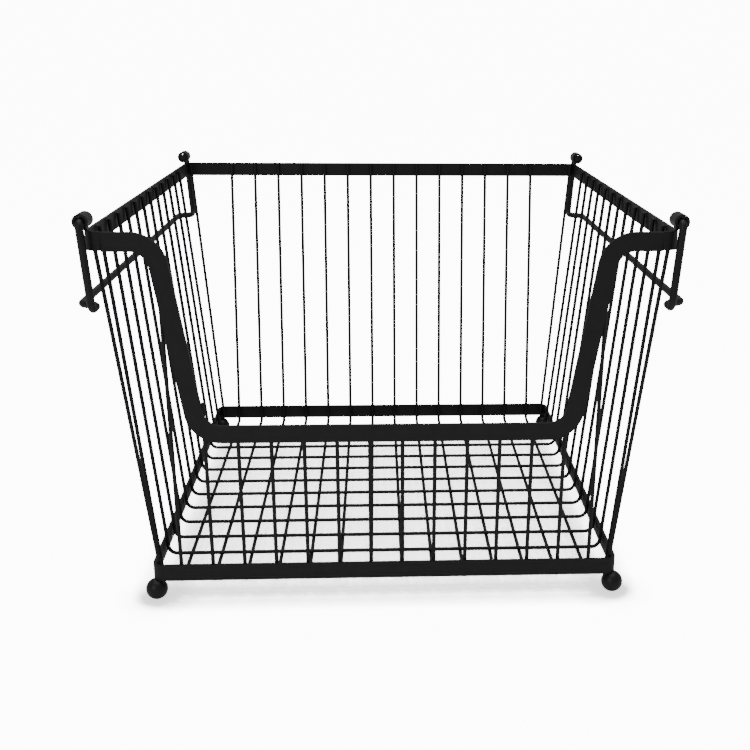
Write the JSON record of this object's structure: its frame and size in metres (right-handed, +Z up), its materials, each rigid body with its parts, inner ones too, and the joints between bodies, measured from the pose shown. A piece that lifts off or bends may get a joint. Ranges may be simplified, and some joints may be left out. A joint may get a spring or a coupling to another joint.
{
  "type": "wire produce basket",
  "caption": "Open-front tapered wire basket with flat strip rim and base ring, scooped front lip, ball feet and two swing-over wire stacking handles.",
  "frame": {"origin": "on the table, under the middle of the basket's bounding box", "axes": "+Z up, -Y towards the open front, +X to the right seen from the front"},
  "size_m": [0.3124, 0.3168, 0.2172],
  "materials": {
    "strip_black": "matte black powder coat",
    "wire_black": "matte black powder coat",
    "foot_black": "satin black powder coat",
    "eye_black": "satin black powder coat",
    "handle_wire_black": "satin black powder coat"
  },
  "bodies": {
    "basket": {"base_ring": "strip_black", "top_rim": "strip_black", "front_scoop_band": "strip_black", "front_left_foot": "foot_black", "front_right_foot": "foot_black", "back_left_foot": "foot_black", "back_right_foot": "foot_black", "long_wire_01": "wire_black", "long_wire_02": "wire_black", "long_wire_03": "wire_black", "long_wire_04": "wire_black", "long_wire_05": "wire_black", "long_wire_06": "wire_black", "long_wire_07": "wire_black", "long_wire_08": "wire_black", "long_wire_09": "wire_black", "long_wire_10": "wire_black", "long_wire_11": "wire_black", "long_wire_12": "wire_black", "long_wire_13": "wire_black", "long_wire_14": "wire_black", "cross_wire_01": "wire_black", "cross_wire_02": "wire_black", "cross_wire_03": "wire_black", "cross_wire_04": "wire_black", "cross_wire_05": "wire_black", "cross_wire_06": "wire_black", "cross_wire_07": "wire_black", "cross_wire_08": "wire_black", "cross_wire_09": "wire_black", "cross_wire_10": "wire_black", "cross_wire_11": "wire_black", "cross_wire_12": "wire_black", "front_left_post": "wire_black", "front_right_post": "wire_black", "back_left_post": "wire_black", "back_right_post": "wire_black", "front_left_pivot_eye": "eye_black", "front_right_pivot_eye": "eye_black", "back_left_pivot_eye": "eye_black", "back_right_pivot_eye": "eye_black"},
    "left_handle": {"left_swing_handle": "handle_wire_black"},
    "right_handle": {"right_swing_handle": "handle_wire_black"}
  },
  "joints": [
    {"name": "left_handle_swing", "type": "hinge", "parent": "basket", "child": "left_handle", "pos_m": [-0.1486, 0, 0.2133], "axis": [0, 1, 0], "range_deg": [0, 276]},
    {"name": "right_handle_swing", "type": "hinge", "parent": "basket", "child": "right_handle", "pos_m": [0.1486, 0, 0.2133], "axis": [0, 1, 0], "range_deg": [-276, 0]}
  ]
}
